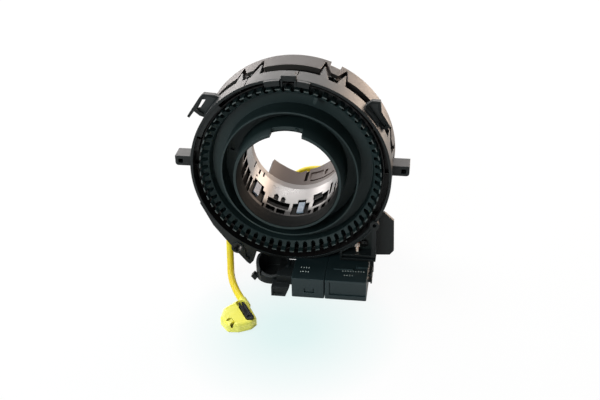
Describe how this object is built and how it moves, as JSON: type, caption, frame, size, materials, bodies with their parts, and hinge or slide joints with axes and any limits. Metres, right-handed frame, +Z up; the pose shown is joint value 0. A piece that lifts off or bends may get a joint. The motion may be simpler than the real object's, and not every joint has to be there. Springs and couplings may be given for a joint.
{
  "type": "steering clock spring",
  "caption": "Round steering clock spring with a toothed code ring round a wide bore, two harness sockets below and a yellow lead with a loose plug.",
  "frame": {"origin": "centre of the bore in the plane of the front rim", "axes": "Y is the turning axis, with the steering column at -Y and the steering wheel at +Y; +Z is up, away from the sockets"},
  "size_m": [0.1272, 0.1206, 0.1212],
  "materials": {
    "black_plastic": "satin",
    "dark_plastic": "matte",
    "cable_film": "satin",
    "pale_clips": "gloss",
    "tin_pins": "satin",
    "steel": "satin",
    "black_board": "satin",
    "brass_parts": "satin",
    "black_rubber": "matte",
    "yellow_sleeve": "satin",
    "yellow_plastic": "gloss"
  },
  "bodies": {
    "case": {"stator_case": "black_plastic", "stator_cover": "black_plastic", "flat_cable": "cable_film", "outer_lead_block": "dark_plastic", "small_socket": "black_plastic", "small_socket_pins": "tin_pins", "large_socket": "black_plastic", "large_socket_pins": "tin_pins", "socket_screws": "steel", "sensor_board": "black_board", "code_reader": "brass_parts", "board_screw": "steel", "lead_grommet": "black_rubber", "airbag_lead": "yellow_sleeve", "squib_plug": "yellow_plastic", "plug_contacts": "brass_parts"},
    "rotor": {"rotor_hub": "dark_plastic", "code_ring": "dark_plastic", "hub_clips": "pale_clips", "inner_lead_block": "dark_plastic", "lead_tower": "dark_plastic", "tower_pins": "tin_pins", "tower_screws": "steel", "wheel_lead": "yellow_sleeve", "wheel_lead_gland": "dark_plastic", "wheel_plug": "yellow_plastic"},
    "lock": {"plug_lock": "black_plastic"}
  },
  "joints": [
    {"name": "wheel_turn", "type": "hinge", "parent": "case", "child": "rotor", "pos_m": [0, 0, 0], "axis": [0, -1, 0], "range_deg": [-900, 900]},
    {"name": "lock_slide", "type": "slide", "parent": "case", "child": "lock", "axis": [-0.5169, 0.8561, 0], "range_m": [0, 0.0025]}
  ]
}
